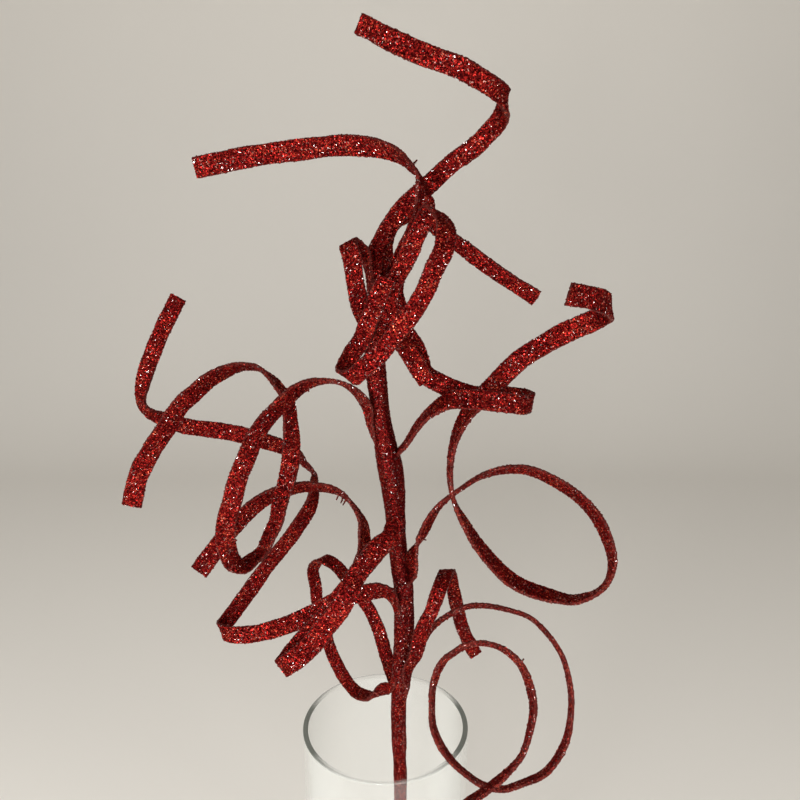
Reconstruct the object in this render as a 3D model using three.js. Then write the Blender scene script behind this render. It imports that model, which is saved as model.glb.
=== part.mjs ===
import * as THREE from 'three';

// A spray of flat, curled willow strips bound along one stem and stood in a plain glass
// cylinder vase. Sizes are millimetres. Z points up from the table under the vase, Y points
// to the back, and the vase stands on the origin.

const GAP = 0.3;

const VASE = { radius: 50, wall: 3.3, height: 202, floor: 8, footRound: 3, segments: 72 };

// The stem stands on the vase's floor, leans on the front of its rim and rises to a tip.
const STEM = { radius: 3.5, sides: 12, steps: 60 };
const STEM_FOOT = { x: 5, y: -24, lean: 0.095 };
const STEM_ROUTE = [
  [9, -42, 198], [8, -42, 225], [8, -44, 251], [10, -45, 283], [10, -47, 319], [7, -48, 354],
  [5, -50, 381], [0, -51, 412], [-2, -52, 434], [-3, -52, 453], [-2, -51, 468],
];

// Every strip is bound flat along the stem, then lifts off and widens to its full width.
const STRIP = { thickness: 2, boundWidth: 4.4, boundGap: 0.5, lift: 1.2, liftRise: 7, step: 4 };
const WIDEN_OVER = 25;

// base: the heights between which a strip is bound, and its side of the stem in degrees round
// from the right (+X) by the back; side turns its upper edge to the left or right of that side.
// route: x, y, z, then how the strip's width lies: degrees turned up from the right as seen
// from the front, and degrees tipped from there towards the front.
const STRIPS = [
  {
    name: 'curl_top',
    width: 8,
    base: { from: 428, to: 460, angle: 142, side: 1 },
    route: [
      [-4, -48, 473, 162, 41], [-3, -48, 483, 156, 29], [-2, -49, 491, 148, 18],
      [3, -50, 500, 147, 13], [10, -52, 510, 138, 3], [19, -55, 518, 133, -2],
      [30, -59, 528, 132, 10], [42, -63, 537, 130, -2], [48, -68, 544, 122, -1],
      [50, -75, 549, 108, 22], [49, -85, 553, 85, 28], [44, -91, 556, 73, 28],
      [33, -93, 562, 66, 20], [17, -88, 568, 66, 7], [-7, -78, 580, 66, 7],
    ],
  },
  {
    name: 'curl_upper_long',
    width: 8.8, endWidth: 9.4, widenOver: 45,
    base: { from: 358, to: 386, angle: 0, side: -1 },
    route: [
      [12, -57, 403, 22, 85], [18, -64, 415, 31, 84], [23, -69, 422, -38, 84],
      [31, -73, 428, -85, 46], [40, -75, 429, -96, 24], [53, -76, 428, -98, 15],
      [63, -73, 426, -101, 15], [68, -66, 425, -101, 14], [65, -59, 425, -104, 13],
      [53, -55, 425, -108, 13], [43, -54, 425, -114, 15], [35, -53, 427, -122, 16],
      [28, -52, 430, -131, 13], [20, -51, 435, -140, 8], [16, -49, 446, -152, 5],
      [10, -48, 455, -160, 7], [8, -47, 464, -171, 10], [6, -47, 472, 176, 10],
      [7, -48, 481, 164, 3], [11, -52, 490, 158, -3], [16, -56, 500, 157, 3],
      [19, -63, 509, 157, 25], [18, -67, 516, 147, 53], [17, -66, 523, 130, 69],
      [13, -60, 528, 110, 66], [8, -54, 532, 96, 53], [0, -48, 535, 89, 39], [-8, -43, 536, 89, 23],
      [-22, -41, 536, 92, 7], [-41, -40, 534, 97, 2], [-63, -37, 531, 100, 3],
      [-85, -32, 527, 100, 2],
    ],
  },
  {
    name: 'coil_front',
    width: 7.8,
    base: { from: 422, to: 446, angle: 292, side: -1 },
    route: [
      [3, -61, 463, 157, 17], [5, -61, 476, 155, -3], [10, -63, 486, 154, -3],
      [15, -66, 497, 154, -3], [19, -71, 506, 152, -3], [22, -77, 510, 150, -4],
      [26, -85, 507, 152, -4], [27, -91, 503, 155, -5], [26, -95, 496, 157, -5],
      [22, -97, 488, 154, 8], [19, -98, 481, 151, 8], [14, -98, 472, 147, -6],
      [7, -97, 463, 141, -7], [1, -96, 455, 137, -8], [-6, -94, 448, 138, -7],
      [-11, -90, 443, 143, -6], [-15, -83, 443, 145, -5], [-13, -76, 448, 150, -4],
      [-8, -73, 455, 152, -3], [-5, -72, 463, 154, -3], [-1, -72, 473, 154, -3],
      [3, -72, 482, 154, -2],
    ],
  },
  {
    name: 'curl_upper_right',
    width: 7.5,
    base: { from: 426, to: 458, angle: 68, side: 1 },
    route: [
      [2, -41, 475, 160, 10], [3, -39, 484, 140, 42], [3, -39, 495, 131, 42],
      [6, -38, 502, 117, 28], [13, -37, 506, 98, 38], [22, -37, 503, 76, 22],
      [29, -38, 498, 64, 17], [54, -41, 480, 60, 18], [72, -45, 469, 61, 17],
    ],
  },
  {
    name: 'loop_small_left',
    width: 8,
    base: { from: 430, to: 444, angle: 215, side: 1 },
    route: [
      [-6, -60, 459, 27, 34], [-7, -63, 463, 14, 0], [-9, -66, 470, 11, -5],
      [-11, -68, 484, 12, -5], [-12, -70, 492, 18, -5], [-13, -67, 496, 32, -6],
      [-10, -62, 494, 37, 19], [-7, -58, 490, 37, 61], [-5, -56, 482, 43, 74],
      [-3, -56, 472, 46, 74],
    ],
  },
  {
    name: 'curl_far_left',
    width: 9, endWidth: 7.8,
    base: { from: 288, to: 303, angle: 225, side: 1 },
    route: [
      [3, -54, 321, 66, 34], [-2, -56, 324, 93, 6], [-6, -57, 324, 104, -13],
      [-19, -57, 321, 112, -27], [-31, -56, 314, 112, -27], [-44, -57, 307, 110, -28],
      [-57, -58, 303, 101, -30], [-70, -56, 299, 98, -18], [-79, -52, 297, 107, -28],
      [-84, -46, 296, 114, -25], [-81, -40, 299, 121, -9], [-70, -34, 313, 135, 9],
      [-58, -31, 329, 133, 19], [-45, -29, 346, 136, 11], [-37, -28, 360, 119, 37],
      [-36, -27, 368, 111, 44], [-36, -25, 374, 100, 52], [-41, -26, 381, 107, 34],
      [-46, -29, 388, 102, 28], [-62, -33, 396, 99, 3], [-80, -35, 401, 100, -16],
      [-98, -36, 404, 92, -17], [-108, -37, 408, 73, 9], [-115, -38, 412, 44, 50],
      [-118, -37, 417, 26, 54], [-117, -36, 425, -2, 18], [-115, -34, 432, -18, -5],
      [-110, -32, 444, -27, -10], [-104, -31, 456, -27, -10], [-98, -29, 467, -23, -11],
    ],
  },
  {
    name: 'coil_left',
    width: 8.5, endWidth: 9, widenOver: 40,
    base: { from: 330, to: 394, angle: 184, side: 1 },
    route: [
      [-5, -52, 408, 20, 68], [-7, -54, 420, 35, 47], [-12, -57, 428, 60, 56],
      [-18, -58, 432, 90, 84], [-26, -58, 433, 87, 67], [-33, -60, 432, 99, 55],
      [-39, -62, 429, 113, 36], [-45, -66, 424, 125, 30], [-51, -70, 418, 127, 34],
      [-56, -74, 411, 136, 15], [-59, -78, 404, 144, 10], [-63, -81, 395, 153, 1],
      [-66, -83, 384, 157, 8], [-70, -82, 371, 168, 7], [-71, -78, 360, 173, 19],
      [-70, -73, 349, -173, 56], [-66, -67, 344, -131, 79], [-63, -61, 344, -21, 62],
      [-59, -57, 346, -1, 48], [-55, -54, 354, 2, 42], [-52, -52, 360, -5, 40],
      [-50, -50, 369, -13, 25], [-46, -47, 382, -20, 34], [-44, -46, 396, -35, -27],
      [-44, -46, 410, -45, -42], [-45, -47, 421, -52, -47], [-49, -48, 428, -47, -41],
      [-53, -49, 433, -48, -53], [-58, -50, 437, -100, -68], [-66, -52, 438, -100, -58],
      [-73, -54, 436, -85, -39], [-79, -56, 433, -71, -28], [-85, -59, 428, -61, -26],
      [-92, -61, 422, -56, -25], [-98, -64, 413, -50, -25], [-105, -67, 403, -40, -17],
      [-111, -70, 392, -33, -5], [-115, -72, 377, -30, -5],
    ],
  },
  {
    name: 'curl_right_loop',
    width: 9,
    base: { from: 290, to: 318, angle: 338, side: -1 },
    route: [
      [15, -53, 333, 0, 55], [15, -54, 342, -10, 42], [19, -52, 351, 135, 38],
      [27, -50, 366, 108, 58], [38, -50, 376, 119, 70], [51, -50, 384, 108, 56],
      [67, -51, 387, 107, 45], [82, -52, 382, 102, 39], [99, -54, 370, 93, 39],
      [109, -56, 355, 81, 40], [113, -58, 339, 84, 52], [109, -60, 328, 94, 61],
      [96, -61, 322, 79, 82], [82, -62, 325, -87, 71], [66, -63, 332, -110, 64],
      [51, -64, 347, -130, 61], [40, -65, 364, -150, 75], [34, -65, 377, 89, 72],
      [32, -65, 391, 78, 71], [34, -64, 407, 44, 72], [40, -64, 420, -19, 62],
      [50, -64, 431, -46, 15], [62, -64, 444, -51, 27], [78, -69, 456, -54, 29],
      [90, -77, 464, -54, 16], [94, -87, 470, -70, 14], [92, -97, 474, -88, 10],
      [85, -105, 478, -105, 5], [73, -110, 481, -110, 4],
    ],
  },
  {
    name: 'curl_low_left',
    width: 8, endWidth: 9.2,
    base: { from: 378, to: 360, angle: 110, side: 1 },
    route: [
      [2, -41, 343, 161, 1], [-2, -40, 338, 138, -18], [-7, -37, 330, 138, -19],
      [-11, -34, 324, 143, -5], [-12, -32, 326, 147, 19], [-10, -31, 333, 146, 34],
      [-10, -30, 341, 145, 40], [-11, -31, 350, 113, 57], [-16, -33, 361, 106, 55],
      [-23, -36, 369, 98, 49], [-34, -39, 373, 94, 46], [-44, -41, 373, 96, 36],
      [-57, -43, 369, 108, 27], [-68, -45, 361, 126, 20], [-76, -49, 353, 137, 6],
      [-83, -54, 345, 144, -5], [-90, -59, 336, 147, -3],
    ],
  },
  {
    name: 'fold_front',
    width: 9.6, widenOver: 18,
    base: { from: 396, to: 374, angle: 266, side: -1 },
    route: [
      [5, -61, 357, 140, -4], [-2, -67, 353, 133, -3], [-8, -72, 347, 137, -4],
      [-19, -77, 332, 142, -16], [-27, -79, 322, 142, -17], [-36, -80, 312, 141, -17],
      [-44, -80, 302, 138, -19], [-47, -85, 300, 128, -24], [-42, -91, 307, 133, -21],
      [-32, -93, 317, 142, -17], [-25, -93, 327, 142, -17], [-17, -91, 337, 142, -17],
      [-13, -88, 344, 142, -17],
    ],
  },
  {
    name: 'loop_low_back',
    width: 7, widenOver: 15,
    base: { from: 283, to: 269, angle: 205, side: 1 },
    route: [
      [0, -41, 256, 23, 33], [-7, -31, 244, 35, -1], [-16, -20, 239, 32, 28],
      [-24, -10, 242, 16, -15], [-31, -4, 253, 16, -16], [-35, 0, 265, 16, -16],
      [-39, 3, 279, 17, -16], [-40, 3, 292, 17, -16], [-41, 0, 306, 23, -3], [-36, -5, 315, 29, 7],
      [-32, -10, 317, 25, -9], [-27, -14, 316, 22, -16], [-21, -18, 311, 23, -15],
      [-9, -22, 295, 23, -15], [-3, -27, 284, 26, -8], [1, -31, 272, 18, -13],
      [3, -31, 263, 14, -11], [6, -31, 254, 12, -9],
    ],
  },
  {
    name: 'curl_low_right',
    width: 7.5,
    base: { from: 218, to: 252, angle: 345, side: -1 },
    route: [
      [13, -50, 274, 148, 46], [17, -52, 285, 138, 14], [20, -53, 299, 150, 1],
      [25, -52, 311, 161, -13], [29, -48, 321, 165, -11], [33, -38, 325, -178, -3],
      [36, -28, 315, -165, 4], [40, -22, 295, -169, 20], [45, -18, 276, -167, 21],
      [52, -15, 260, -167, 21],
    ],
  },
  {
    name: 'coil_low_right',
    width: 8, widenOver: 40,
    base: { from: 218, to: 248, angle: 75, side: 1 },
    route: [
      [14, -38, 271, 153, 17], [20, -38, 283, 116, 43], [27, -36, 292, 110, 50],
      [36, -36, 299, 103, 49], [45, -37, 304, 100, 49], [54, -38, 305, 99, 49],
      [65, -40, 304, 100, 53], [76, -42, 301, 100, 53], [85, -43, 293, 99, 53],
      [94, -45, 280, 98, 52], [99, -47, 263, 91, 52], [100, -49, 247, 92, 53],
      [97, -52, 229, 72, 57], [87, -54, 213, 74, 64], [75, -56, 208, 90, 69],
      [65, -58, 206, 104, 61], [54, -60, 210, 112, 61], [42, -62, 221, 103, 61],
      [32, -64, 235, 124, 63], [26, -66, 251, 116, 52], [25, -68, 267, 103, 52],
      [26, -70, 282, 113, 47], [30, -73, 295, 109, 46], [35, -76, 302, 101, 50],
      [41, -79, 308, 99, 45], [49, -82, 311, 99, 53], [57, -85, 310, 94, 47],
      [65, -88, 304, 87, 46], [69, -91, 296, 75, 47], [71, -95, 285, 78, 52],
      [69, -99, 275, 78, 55], [65, -103, 265, 96, 52], [57, -107, 258, 81, 68],
      [48, -111, 253, 80, 68], [38, -116, 250, 78, 59], [27, -120, 244, 70, 56],
    ],
  },
  {
    name: 'curl_short_knot',
    width: 8, widenOver: 14,
    base: { from: 468, to: 461, angle: 350, side: -1 },
    route: [
      [9, -57, 451, -160, 27], [14, -59, 444, -150, 6], [21, -60, 433, -142, 8],
    ],
  },
];

const GLASS = { color: 0xdfe6e2, roughness: 0.05, metalness: 0 };
const WRAPPED_STEM = { color: 0x6a1016, roughness: 0.6, metalness: 0.2 };
const GLITTERED_STRIP = { color: 0x9c1a20, roughness: 0.45, metalness: 0.3 };

function named(name, geometry, look) {
  const mesh = new THREE.Mesh(geometry, new THREE.MeshStandardMaterial(look));
  mesh.name = name;
  return mesh;
}

function vase() {
  const { radius, wall, height, floor, footRound, segments } = VASE;
  const inner = radius - wall;
  const outline = new THREE.Path();
  outline.moveTo(0, 0);
  outline.lineTo(radius - footRound, 0);
  outline.absarc(radius - footRound, footRound, footRound, -Math.PI / 2, 0);
  outline.lineTo(radius, height - wall / 2);
  outline.absarc(radius - wall / 2, height - wall / 2, wall / 2, 0, Math.PI);
  outline.lineTo(inner, floor + footRound);
  outline.absarc(inner - footRound, floor + footRound, footRound, 0, -Math.PI / 2, true);
  outline.lineTo(0, floor);
  const geometry = new THREE.LatheGeometry(outline.getPoints(6), segments);
  geometry.rotateX(Math.PI / 2);
  return named('vase', geometry, GLASS);
}

function stemCurve() {
  const { x, y, lean } = STEM_FOOT;
  const foot = new THREE.Vector3(x, y, VASE.floor + GAP + STEM.radius * lean);
  const rest = STEM_ROUTE.map((p) => new THREE.Vector3(...p));
  return new THREE.CatmullRomCurve3([foot, ...rest], false, 'centripetal');
}

const STEM_LINE = stemCurve();
const STEM_POINTS = STEM_LINE.getSpacedPoints(240);

function stem() {
  const round = new THREE.Shape();
  const turn = (2 * Math.PI) / STEM.sides;
  for (let i = 0; i < STEM.sides; i += 1) {
    const at = [STEM.radius * Math.cos(i * turn), STEM.radius * Math.sin(i * turn)];
    if (i === 0) round.moveTo(...at);
    else round.lineTo(...at);
  }
  const sweep = { steps: STEM.steps, bevelEnabled: false, extrudePath: STEM_LINE };
  return named('stem', new THREE.ExtrudeGeometry(round, sweep), WRAPPED_STEM);
}

// The stem's middle and direction at a height; above the tip the last direction runs on.
function stemAt(z) {
  const last = STEM_POINTS.length - 1;
  let i = 1;
  while (i < last && STEM_POINTS[i].z < z) i += 1;
  const below = STEM_POINTS[i - 1];
  const along = STEM_POINTS[i].clone().sub(below);
  const middle = below.clone().addScaledVector(along, (z - below.z) / along.z);
  return { middle, along: along.normalize() };
}

// A place on the stem's surface for a bound strip, and the direction its width takes there.
function boundAt(z, angle, side, lift) {
  const { middle, along } = stemAt(z);
  const a = THREE.MathUtils.degToRad(angle);
  const out = new THREE.Vector3(Math.cos(a), Math.sin(a), 0);
  out.addScaledVector(along, -out.dot(along)).normalize();
  const reach = STEM.radius + STRIP.boundGap + STRIP.thickness / 2 + lift;
  return {
    point: middle.addScaledVector(out, reach),
    across: along.clone().cross(out).multiplyScalar(side),
  };
}

function routed([x, y, z, turn, tip]) {
  const a = THREE.MathUtils.degToRad(turn);
  const b = THREE.MathUtils.degToRad(tip);
  const across = new THREE.Vector3(
    Math.cos(b) * Math.cos(a),
    -Math.sin(b),
    Math.cos(b) * Math.sin(a),
  );
  return { point: new THREE.Vector3(x, y, z), across };
}

// Evenly spaced cross-sections along a strip: middle, width direction, face direction, width.
function sections({ width, endWidth = width, widenOver = WIDEN_OVER, base, route }) {
  const { from, to, angle, side } = base;
  const rise = Math.sign(to - from) * STRIP.liftRise;
  const knots = [from, (from + to) / 2, to].map((z) => boundAt(z, angle, side, 0));
  knots.push(boundAt(to + rise, angle, side, STRIP.lift));
  knots.push(...route.map(routed));
  const line = new THREE.CatmullRomCurve3(knots.map((k) => k.point), false, 'centripetal');
  line.arcLengthDivisions = 20 * knots.length;
  const length = line.getLength();
  const steps = Math.round(length / STRIP.step);
  let across = [];
  const places = [];
  for (let i = 0; i <= steps; i += 1) {
    const t = line.getUtoTmapping(i / steps);
    const knot = t * (knots.length - 1);
    const k = Math.min(Math.floor(knot), knots.length - 2);
    across.push(knots[k].across.clone().lerp(knots[k + 1].across, knot - k));
    places.push({ knot, point: line.getPoint(t), tangent: line.getTangent(t) });
  }
  for (let pass = 0; pass < 4; pass += 1) across = across.map(evened);
  const bound = Math.abs(to - from) + Math.abs(rise);
  return places.map(({ point, tangent }, i) => {
    const at = (i / steps) * length;
    const share = THREE.MathUtils.smoothstep(at, bound, bound + widenOver);
    const full = THREE.MathUtils.lerp(width, endWidth, i / steps);
    const wide = across[i].addScaledVector(tangent, -across[i].dot(tangent)).normalize();
    return {
      point,
      wide,
      face: tangent.clone().cross(wide),
      width: THREE.MathUtils.lerp(STRIP.boundWidth, full, share),
    };
  });
}

function evened(vector, i, all) {
  if (i === 0 || i === all.length - 1) return vector.clone();
  return vector.clone().multiplyScalar(2).add(all[i - 1]).add(all[i + 1]).divideScalar(4);
}

// A flat bar with one slice per section, bent along them.
function strip(plan) {
  const list = sections(plan);
  const slices = list.length - 1;
  const bar = new THREE.BoxGeometry(1, 1, 1, 1, 1, slices);
  const at = bar.attributes.position;
  for (let i = 0; i < at.count; i += 1) {
    const s = list[Math.round((at.getZ(i) + 0.5) * slices)];
    const corner = s.point.clone();
    corner.addScaledVector(s.wide, at.getX(i) * s.width);
    corner.addScaledVector(s.face, at.getY(i) * STRIP.thickness);
    at.setXYZ(i, corner.x, corner.y, corner.z);
  }
  bar.computeVertexNormals();
  return named(plan.name, bar, GLITTERED_STRIP);
}

const spray = new THREE.Group();
spray.name = 'curly_willow_in_vase';
spray.add(vase(), stem(), ...STRIPS.map(strip));

export default spray;
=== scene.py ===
"""Glittered curly willow in a glass vase: the strips, the stem, the vase and the stage."""

import math
from typing import NamedTuple

import bpy
import numpy as np
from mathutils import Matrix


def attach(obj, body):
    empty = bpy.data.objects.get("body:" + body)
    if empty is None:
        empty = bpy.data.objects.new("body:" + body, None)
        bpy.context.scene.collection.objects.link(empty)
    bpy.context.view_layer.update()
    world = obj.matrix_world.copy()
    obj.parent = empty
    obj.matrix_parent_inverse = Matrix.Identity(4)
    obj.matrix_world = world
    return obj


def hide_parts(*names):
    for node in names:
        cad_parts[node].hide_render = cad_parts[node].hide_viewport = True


bl_info = {
    "name": "Curly willow in a vase",
    "version": (1, 0, 0),
    "blender": (4, 5, 0),
    "location": "3D View > Sidebar > Willow",
    "description": "Builds a stem of glittered, curled willow strips in a glass cylinder vase",
    "category": "Add Mesh",
}

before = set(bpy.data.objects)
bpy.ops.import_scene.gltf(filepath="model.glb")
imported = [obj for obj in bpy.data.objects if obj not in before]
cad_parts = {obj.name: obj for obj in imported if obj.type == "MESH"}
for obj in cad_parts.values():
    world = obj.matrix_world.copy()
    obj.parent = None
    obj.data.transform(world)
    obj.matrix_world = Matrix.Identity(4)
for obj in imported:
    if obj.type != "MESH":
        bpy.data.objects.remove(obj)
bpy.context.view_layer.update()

MM = 0.001
SEED = 41

# The stem's foot on the vase's floor, then its middle on the way up, in millimetres.
STEM_ROUTE = (
    (5, -24, 8.6), (9, -42, 198), (8, -42, 225), (8, -44, 251), (10, -45, 283), (10, -47, 319),
    (7, -48, 354), (5, -50, 381), (0, -51, 412), (-2, -52, 434), (-3, -52, 453), (-2, -51, 468),
)

# How a strip is bound: its width there, how deep it is pressed in, and how it lifts off.
BOUND_WIDTH = 4.4
BOUND_SUNK = 1.4
LIFT = 1.2
LIFT_RISE = 7
SECTION_STEP = 4
WIDEN_SHARE = 0.6

# How the stem's wrapping runs out before a bound strip and after it, and over the tip; how far
# up it takes to come to its full thickness from a share of it; where it swells: a height, how
# far up and down from there, and how much; and a ridge: its angle, its two heights, its rise.
WRAP_START = 8
WRAP_END = 18
WRAP_GROWS = 75
WRAP_LEAST = 0.3
WRAP_SWELLS = ((388, 16, 1.2),)
WRAP_RIDGES = ((352, 294, 322, 2.1),)
DOME_RISE = 6
DOME_RINGS = 14

# Chords to each knot of a line, the stem's steps, and how far it is thought to run on above.
CHORDS_PER_KNOT = 40
STEM_STEP = 2
RUN_ON = 200

# How far a drift of a strip's edges, its warp and the stem's swelling lasts; how strong they are.
EDGE_REACH = 3
WARP_REACH = 12
SWELL_REACH = 4
WARP_SHARE = 0.4
SWELL = 0.1

# The heights in metres over which painted shade comes onto the stem: above them the stem is painted darker,
# as shade among the strips.
PAINTED_SHADE_HEIGHTS = (0.21, 0.29)

# How far the inside of a strip's cap stays off its rim, and the stem's lowest height.
CAP_INSET = 0.3
FOOT_LOWEST = 8.25

# Half the floor's width, its bend's radius and its top, in millimetres; in metres, the place
# that the lights face and the camera's; and the camera's turn up from straight down.
FLOOR_HALF = 3000
FLOOR_BEND = 900
FLOOR_TOP = 3200
LIT_PLACE = (0, -0.05, 0.38)
CAMERA_PLACE = (0.0088, -0.413, 0.527)
CAMERA_TURN = 73.8


class Strip(NamedTuple):
    """One willow strip, in millimetres and degrees.

    It is bound along the stem between two heights, at an angle round from the right by the
    back, and side turns its upper edge to one hand or the other. Over the next stretch it
    widens to its width, which may change evenly to another at its end. Each row of the route
    is a place, then how the width lies there: degrees turned up from the right as seen from
    the front, and degrees tipped from there towards the front.
    """

    width: float
    bound: tuple
    angle: float
    route: tuple
    side: int = 1
    widen: float = 25
    end_width: float = 0


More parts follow.
